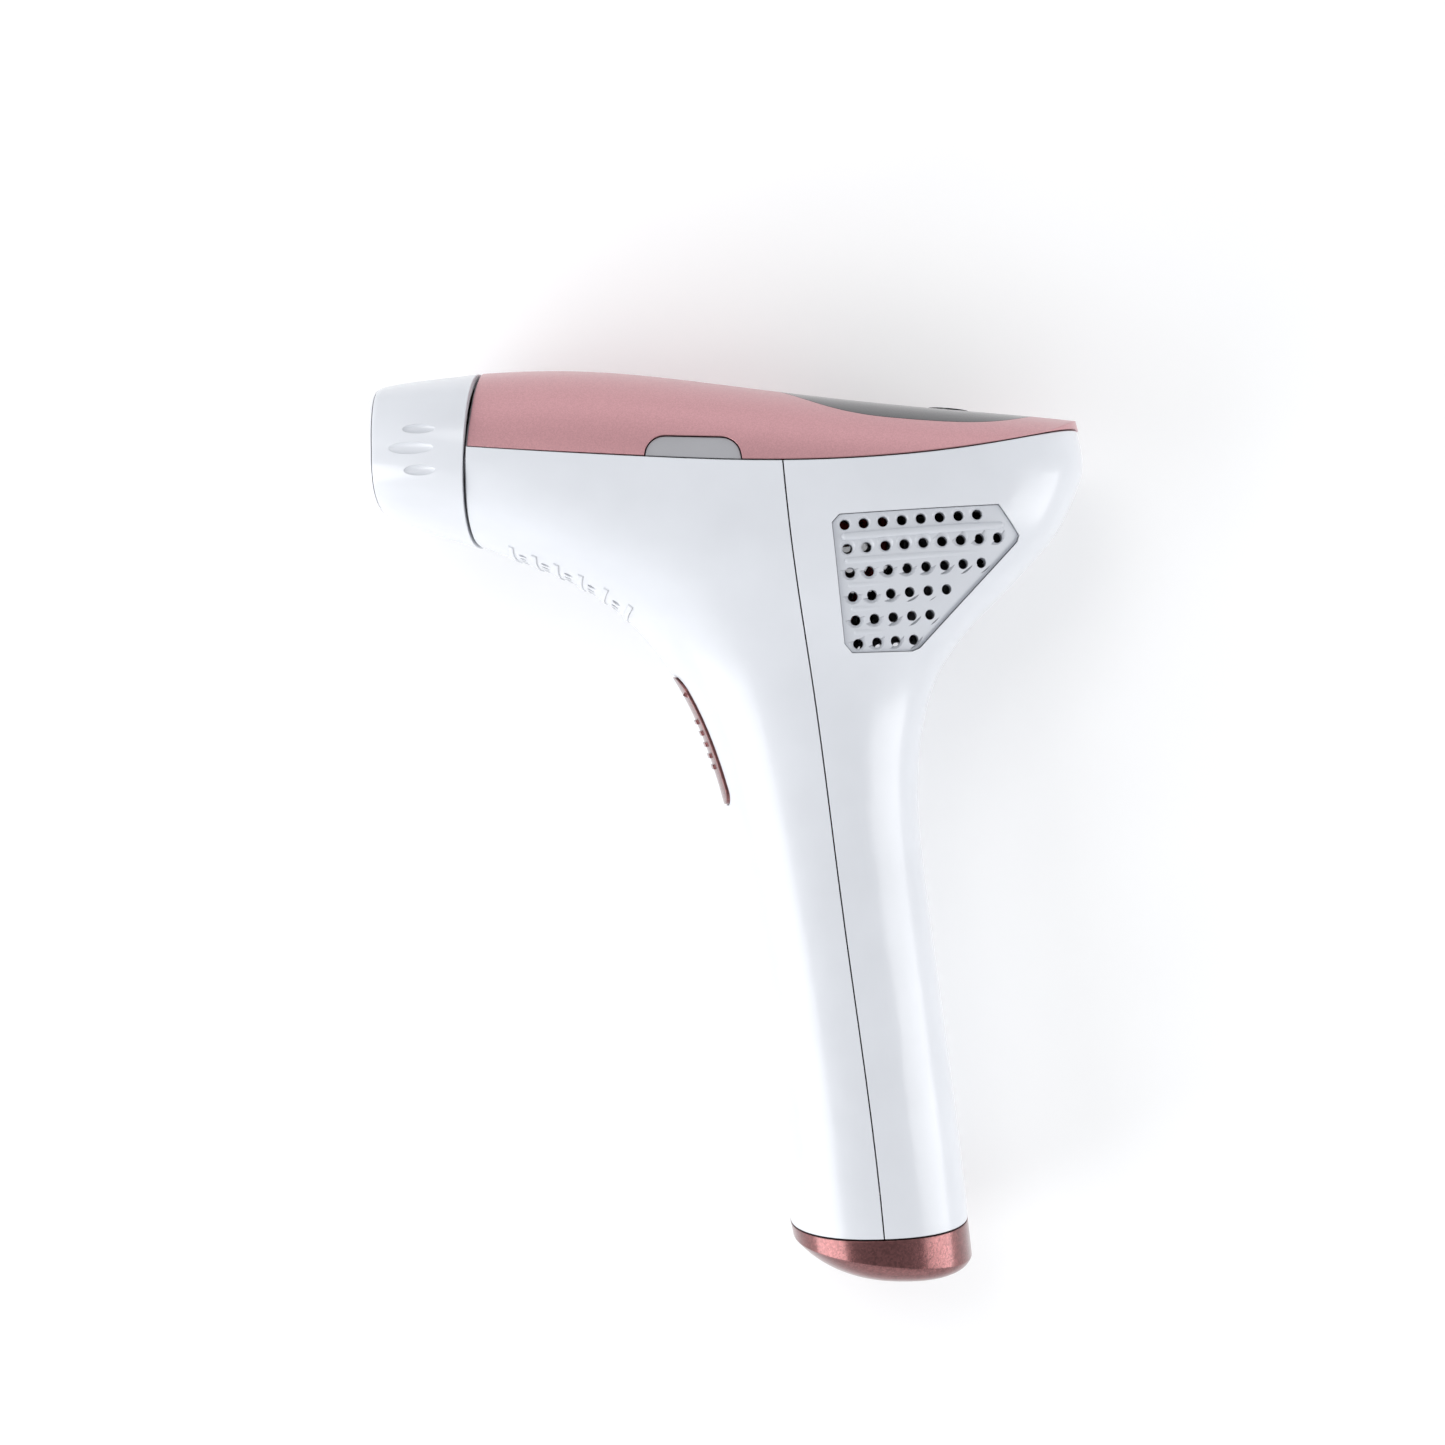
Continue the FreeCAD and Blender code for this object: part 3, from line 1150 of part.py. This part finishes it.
# ---------------------------------------------------------------------------
# Export
# ---------------------------------------------------------------------------
def main():
    casing = hollow_casing()
    block = cover_block()
    left_vent = vent_grille()
    left_button = release_button()
    left_spring = release_spring()
    holes = board_screw_holes()
    nodes = {
        "front_shell": front_shell(casing),
        "rear_shell": rear_shell(casing),
        "top_cover": top_cover(block),
        "display_window": display_window(block),
        "bottom_cap": bottom_cap(),
        "neck_gasket": neck_gasket(),
        "vent_grille_left": left_vent,
        "vent_grille_right": mirrored(left_vent),
        "cap_screws": cap_screws(),
        "power_button": power_button(),
        "release_button_left": left_button,
        "release_button_right": mirrored(left_button),
        "release_spring_left": left_spring,
        "release_spring_right": mirrored(left_spring),
        "flash_trigger": flash_trigger(),
        "trigger_pin": trigger_pin(),
        "trigger_bracket": trigger_bracket(),
        "trigger_board": trigger_board(),
        "trigger_switch": trigger_switch(),
        "switch_plunger": switch_plunger(),
        "trigger_spring": trigger_spring(),
        "head_shell": head_shell(),
        "window_bezel": window_bezel(),
        "light_window": light_window(),
        "skin_sensor_pads": skin_sensor_pads(),
        "reflector": reflector(),
        "flash_lamp": flash_lamp(),
        "lamp_electrodes": lamp_electrodes(),
        "lamp_holder": lamp_holder(),
        "head_contacts": head_contacts(),
        "socket_frame": socket_frame(),
        "socket_contacts": socket_contacts(),
        "heatsink": heatsink(),
        "fan_frame": fan_frame(),
        "fan_rotor": fan_rotor(),
        "fan_screws": fan_screws(),
        "chassis": chassis().cut(holes),
        "power_board": power_board().cut(holes),
        "transformer": transformer(),
        "trigger_coil": trigger_coil(),
        "power_transistors": power_transistors(),
        "board_screws": board_screws(),
        "control_board": control_board().cut(holes),
        "display_module": display_module(),
        "button_switch": button_switch(),
        "capacitor": capacitor(),
        "dc_jack": dc_jack(),
        "leads_power": leads_power(),
        "leads_supply": leads_supply(),
        "leads_lamp": leads_lamp(),
        "lead_trigger": lead_trigger(),
    }
    os.makedirs("parts", exist_ok=True)
    for name, shape in nodes.items():
        lying = shape.copy()
        lying.translate(V(*ROW_ORIGIN) * -1)
        lying.exportStep("parts/" + name + ".step")


main()
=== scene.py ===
import bpy
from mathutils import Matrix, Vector
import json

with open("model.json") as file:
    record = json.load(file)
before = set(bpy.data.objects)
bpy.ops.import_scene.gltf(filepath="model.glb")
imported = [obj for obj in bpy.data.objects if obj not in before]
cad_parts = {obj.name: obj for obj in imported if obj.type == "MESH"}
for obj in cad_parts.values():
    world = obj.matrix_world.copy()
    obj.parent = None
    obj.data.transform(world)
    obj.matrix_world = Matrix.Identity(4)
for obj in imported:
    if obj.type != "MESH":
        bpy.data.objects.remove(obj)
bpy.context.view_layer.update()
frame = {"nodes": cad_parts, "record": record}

# ---------------------------------------------------------------------------
# View and light: metres in the row frame, watts for the lights
# ---------------------------------------------------------------------------
MIDDLE_Z = 0.03104               # the device's middle plane
VIEW_AIM = (-0.00159, 0.02154)   # the camera looks straight down on this point
VIEW_DISTANCE = 0.420            # from the camera to the middle plane
VIEW_WIDTH = 0.3255              # what the picture spans at the middle plane
NEAREST_SEEN = 0.01              # from the camera
SENSOR = 36.0                    # width of the camera's sensor, millimetres

LIGHT_AIM = (0.0, 0.0, MIDDLE_Z)
# place, width and height, power
LIGHTS = {
    "key": ((-0.8, -0.3, 0.38), (0.5, 0.9), 5.0),
    "rim": ((0.8, -0.1, 0.14), (0.28, 1.2), 3.4),
    "overhead": ((-0.3, 0.4, 0.9), (0.4, 0.4), 1.4),
}
HORIZON_LIGHT = 1.4              # strength of the surroundings, level and overhead
ZENITH_LIGHT = 0.30
SURROUNDINGS = (0.97, 0.98, 1.0)

FLOOR_HALF = 1.5
FLOOR_DARK = (0.90, 0.90, 0.905)
FLOOR_PALE = (0.93, 0.93, 0.93)
FLOOR_CLOUDS = 8                 # per metre
FLOOR_ROUGHNESS = 0.9
FLOOR_GLOW = 0.14                # keeps the paper pale in the device's shadow

# ---------------------------------------------------------------------------
# Finish: scales are features per metre, depths and radii are metres
# ---------------------------------------------------------------------------
EDGE_SAMPLES = 6
COAT_ROUGHNESS = 0.16

PLASTIC_MOTTLE = 60
PLASTIC_GLOSS = 220
PLASTIC_IOR = 1.5

FLAKE_DEPTH = 0.000006
LACQUER_GLOSS = 900
LACQUER_COAT = 0.35

METAL_TONE = 400
METAL_GLOSS = 1500
METAL_BRUSHING = 2500
METAL_BRUSHING_DEPTH = 0.000004

GLASS_STREAKS = 80
GLASS_GLOSS = 300
GLASS_TRANSMISSION = 0.85
GLASS_IOR = 1.46

# colour, roughness, surface grain, grain depth, clear coat, radius of softened edges
PLASTICS = {
    "white_shell": ((0.70, 0.72, 0.76), 0.30, 1800, 0.0000015, 0.4, 0.0003),
    # lighter than the white shell: a painted highlight on the bezel's rounded front face
    "white_bezel": ((0.76, 0.77, 0.80), 0.22, 1800, 0.0000015, 0.4, 0.0003),
    # the white shell plastic darkened: painted shade on the sunk vent grilles, which are moulded
    # in the same white
    "white_grille": ((0.58, 0.60, 0.64), 0.34, 1800, 0.0000015, 0.2, 0.00012),
    "smoked_window": ((0.028, 0.028, 0.031), 0.16, 900, 0.000001, 0.2, 0.0),
    "grey_button": ((0.38, 0.38, 0.40), 0.45, 3500, 0.000012, 0.0, 0.0003),
    "black_button": ((0.03, 0.03, 0.032), 0.15, 1500, 0.000002, 0.6, 0.0),
    "dark_gasket": ((0.42, 0.42, 0.44), 0.6, 2500, 0.00001, 0.0, 0.0),
    "inner_plastic": ((0.62, 0.62, 0.60), 0.45, 2500, 0.000008, 0.0, 0.0),
    "black_plastic": ((0.02, 0.02, 0.021), 0.4, 2500, 0.000008, 0.0, 0.0),
    "circuit_board": ((0.02, 0.13, 0.05), 0.3, 1200, 0.00001, 0.3, 0.0),
    "ferrite": ((0.03, 0.029, 0.028), 0.6, 3000, 0.00002, 0.0, 0.0),
    "coil_wrap": ((0.35, 0.10, 0.03), 0.35, 2500, 0.00001, 0.0, 0.0),
    "display_block": ((0.02, 0.02, 0.022), 0.3, 2500, 0.000006, 0.0, 0.0),
    "capacitor_sleeve": ((0.02, 0.025, 0.05), 0.25, 1800, 0.000006, 0.0, 0.0),
    "red_insulation": ((0.40, 0.02, 0.015), 0.4, 2500, 0.000006, 0.0, 0.0),
    "black_insulation": ((0.02, 0.02, 0.02), 0.45, 2500, 0.000006, 0.0, 0.0),
}
# colour, roughness, flakes, their contrast, metallic share, radius of softened edges
LACQUERS = {
    "rose_metallic": ((0.56, 0.29, 0.31), 0.38, 4500, 0.07, 0.7, 0.0004),
    # the rose lacquer darkened as painted shade and a painted dark reflection, for the bottom cap
    # and the flash trigger
    "rose_dark": ((0.22, 0.09, 0.09), 0.22, 2600, 0.22, 0.85, 0.0003),
}
# colour, roughness
METALS = {
    "bright_reflector": ((0.90, 0.90, 0.91), 0.08),
    "contact_metal": ((0.80, 0.80, 0.81), 0.15),
    "brass": ((0.75, 0.55, 0.22), 0.25),
    "steel": ((0.55, 0.55, 0.56), 0.3),
    "aluminium": ((0.70, 0.71, 0.73), 0.35),
}
# colour, roughness
GLASSES = {
    "filter_glass": ((0.95, 0.55, 0.22), 0.05),
    "lamp_glass": ((0.95, 0.95, 0.97), 0.03),
}
# nodes whose finish differs from that of their slot in the record; the cap, the trigger and the
# vent grilles get darkened copies of their finishes as painted shade
OWN_FINISH = {
    "bottom_cap": "rose_dark",
    "flash_trigger": "rose_dark",
    "vent_grille_left": "white_grille",
    "vent_grille_right": "white_grille",
}


# ---------------------------------------------------------------------------
# Shader helpers
# ---------------------------------------------------------------------------
def new_material(name):
    """An empty node material with its Principled shader."""
    material = bpy.data.materials.new(name)
    material.use_nodes = True
    tree = material.node_tree
    shader = tree.nodes["Principled BSDF"]
    return material, tree, shader


def object_coordinates(tree):
    """Object-space coordinates, which are metres in the row frame."""
    return tree.nodes.new("ShaderNodeTexCoord").outputs["Object"]


def noise(tree, scale, detail=2.0):
    """Noise over object space; scale is features per metre."""
    node = tree.nodes.new("ShaderNodeTexNoise")
    node.inputs["Scale"].default_value = scale
    node.inputs["Detail"].default_value = detail
    tree.links.new(object_coordinates(tree), node.inputs["Vector"])
    return node.outputs["Fac"]


def ramp(tree, source, low, high, low_at=0.35, high_at=0.65):
    """Colour ramp between two RGB colours."""
    node = tree.nodes.new("ShaderNodeValToRGB")
    node.color_ramp.elements[0].position = low_at
    node.color_ramp.elements[0].color = (*low, 1.0)
    node.color_ramp.elements[1].position = high_at
    node.color_ramp.elements[1].color = (*high, 1.0)
    tree.links.new(source, node.inputs["Fac"])
    return node.outputs["Color"]


def span(tree, source, low, high):
    """Maps 0..1 to a range of values."""
    node = tree.nodes.new("ShaderNodeMapRange")
    node.inputs["To Min"].default_value = low
    node.inputs["To Max"].default_value = high
    tree.links.new(source, node.inputs["Value"])
    return node.outputs["Result"]


def bump(tree, shader, source, distance, edge_radius=0.0):
    """Bump of a height in metres on a shader, over edges softened by a radius."""
    node = tree.nodes.new("ShaderNodeBump")
    node.inputs["Distance"].default_value = distance
    tree.links.new(source, node.inputs["Height"])
    if edge_radius > 0:
        soft_edge = tree.nodes.new("ShaderNodeBevel")
        soft_edge.samples = EDGE_SAMPLES
        soft_edge.inputs["Radius"].default_value = edge_radius
        tree.links.new(soft_edge.outputs["Normal"], node.inputs["Normal"])
    tree.links.new(node.outputs["Normal"], shader.inputs["Normal"])


def shade(colour, factor):
    """A colour made darker or lighter by a factor."""
    return tuple(min(1.0, c * factor) for c in colour)


def varied_roughness(tree, shader, scale, low, high):
    """Roughness that drifts between two values over the surface."""
    gloss = span(tree, noise(tree, scale), low, high)
    tree.links.new(gloss, shader.inputs["Roughness"])


def clear_coat(shader, weight):
    """Clear coat over a shader."""
    shader.inputs["Coat Weight"].default_value = weight
    shader.inputs["Coat Roughness"].default_value = COAT_ROUGHNESS


# ---------------------------------------------------------------------------
# Materials
# ---------------------------------------------------------------------------
def moulded_plastic(name, colour, roughness, grain, grain_depth, coat, edge_radius):
    """Moulded plastic: even colour with slight mottling and a fine surface grain."""
    material, tree, shader = new_material(name)
    mottle = noise(tree, PLASTIC_MOTTLE, 3)
    tone = ramp(tree, mottle, shade(colour, 0.975), shade(colour, 1.015))
    tree.links.new(tone, shader.inputs["Base Color"])
    varied_roughness(tree, shader, PLASTIC_GLOSS, roughness * 0.88, roughness * 1.14)
    bump(tree, shader, noise(tree, grain, 3), grain_depth, edge_radius)
    shader.inputs["IOR"].default_value = PLASTIC_IOR
    clear_coat(shader, coat)
    return material


def metallic_lacquer(name, colour, roughness, flake_scale, flake_contrast, metallic, edge_radius):
    """Metallic lacquer: base colour with small bright and dark flakes under clear coat."""
    material, tree, shader = new_material(name)
    flakes = tree.nodes.new("ShaderNodeTexVoronoi")
    flakes.inputs["Scale"].default_value = flake_scale
    tree.links.new(object_coordinates(tree), flakes.inputs["Vector"])
    grey = tree.nodes.new("ShaderNodeRGBToBW")
    tree.links.new(flakes.outputs["Color"], grey.inputs["Color"])
    dark = shade(colour, 1 - flake_contrast)
    bright = shade(colour, 1 + flake_contrast)
    tone = ramp(tree, grey.outputs["Val"], dark, bright, 0.15, 0.85)
    tree.links.new(tone, shader.inputs["Base Color"])
    varied_roughness(tree, shader, LACQUER_GLOSS, roughness * 0.85, roughness * 1.2)
    bump(tree, shader, grey.outputs["Val"], FLAKE_DEPTH, edge_radius)
    shader.inputs["Metallic"].default_value = metallic
    clear_coat(shader, LACQUER_COAT)
    return material


def plain_metal(name, colour, roughness):
    """Bare metal with fine brushing."""
    material, tree, shader = new_material(name)
    tone = ramp(tree, noise(tree, METAL_TONE, 4), shade(colour, 0.92), shade(colour, 1.06))
    tree.links.new(tone, shader.inputs["Base Color"])
    varied_roughness(tree, shader, METAL_GLOSS, roughness * 0.8, roughness * 1.25)
    bump(tree, shader, noise(tree, METAL_BRUSHING), METAL_BRUSHING_DEPTH)
    shader.inputs["Metallic"].default_value = 1.0
    return material


def clear_glass(name, colour, roughness):
    """Tinted glass with faint streaks."""
    material, tree, shader = new_material(name)
    tone = ramp(tree, noise(tree, GLASS_STREAKS), shade(colour, 0.95), colour)
    tree.links.new(tone, shader.inputs["Base Color"])
    varied_roughness(tree, shader, GLASS_GLOSS, roughness * 0.8, roughness * 1.3)
    shader.inputs["Transmission Weight"].default_value = GLASS_TRANSMISSION
    shader.inputs["IOR"].default_value = GLASS_IOR
    return material


def build_materials():
    """Every material by its name."""
    materials = {}
    for make, table in (
        (moulded_plastic, PLASTICS),
        (metallic_lacquer, LACQUERS),
        (plain_metal, METALS),
        (clear_glass, GLASSES),
    ):
        for name, facts in table.items():
            materials[name] = make(name, *facts)
    return materials


def paint_nodes(materials):
    """Gives each node its own finish, or else that of its slot in the record."""
    for entry in frame["record"]["subparts"]:
        finish = OWN_FINISH.get(entry["node"], entry["material_slot"])
        for place in frame["nodes"][entry["node"]].material_slots:
            place.material = materials[finish]


# ---------------------------------------------------------------------------
# Stage, lights, camera
# ---------------------------------------------------------------------------
def add_floor():
    """Large pale floor under the lying device."""
    half = FLOOR_HALF
    corners = [(-half, -half, 0), (half, -half, 0), (half, half, 0), (-half, half, 0)]
    mesh = bpy.data.meshes.new("floor")
    mesh.from_pydata(corners, [], [(0, 1, 2, 3)])
    floor = bpy.data.objects.new("floor", mesh)
    bpy.context.collection.objects.link(floor)
    material, tree, shader = new_material("floor_paper")
    tone = ramp(tree, noise(tree, FLOOR_CLOUDS, 3), FLOOR_DARK, FLOOR_PALE)
    tree.links.new(tone, shader.inputs["Base Color"])
    shader.inputs["Roughness"].default_value = FLOOR_ROUGHNESS
    shader.inputs["Emission Color"].default_value = (1.0, 1.0, 1.0, 1.0)
    shader.inputs["Emission Strength"].default_value = FLOOR_GLOW
    mesh.materials.append(material)


def add_area_light(name, place, size, power):
    """Soft rectangular light aimed at the device."""
    data = bpy.data.lights.new(name, "AREA")
    data.shape = "RECTANGLE"
    data.size, data.size_y = size
    data.energy = power
    light = bpy.data.objects.new(name, data)
    light.location = place
    direction = Vector(LIGHT_AIM) - Vector(place)
    light.rotation_euler = direction.to_track_quat("-Z", "Y").to_euler()
    bpy.context.collection.objects.link(light)


def add_world():
    """Pale surroundings, bright at the horizon and dimmer overhead."""
    world = bpy.data.worlds.new("studio")
    world.use_nodes = True
    tree = world.node_tree
    direction = tree.nodes.new("ShaderNodeTexCoord").outputs["Generated"]
    parts = tree.nodes.new("ShaderNodeSeparateXYZ")
    tree.links.new(direction, parts.inputs["Vector"])
    strength = span(tree, parts.outputs["Z"], HORIZON_LIGHT, ZENITH_LIGHT)
    background = tree.nodes["Background"]
    background.inputs["Color"].default_value = (*SURROUNDINGS, 1.0)
    tree.links.new(strength, background.inputs["Strength"])
    bpy.context.scene.world = world


def add_camera():
    """Camera straight above the device."""
    data = bpy.data.cameras.new("camera")
    data.sensor_width = SENSOR
    data.lens = SENSOR * VIEW_DISTANCE / VIEW_WIDTH
    data.clip_start = NEAREST_SEEN
    camera = bpy.data.objects.new("camera", data)
    camera.location = (*VIEW_AIM, MIDDLE_Z + VIEW_DISTANCE)
    bpy.context.collection.objects.link(camera)
    bpy.context.scene.camera = camera


paint_nodes(build_materials())
add_floor()
for light_name, light_facts in LIGHTS.items():
    add_area_light(light_name, *light_facts)
add_world()
add_camera()
bpy.context.scene.view_settings.view_transform = "Standard"
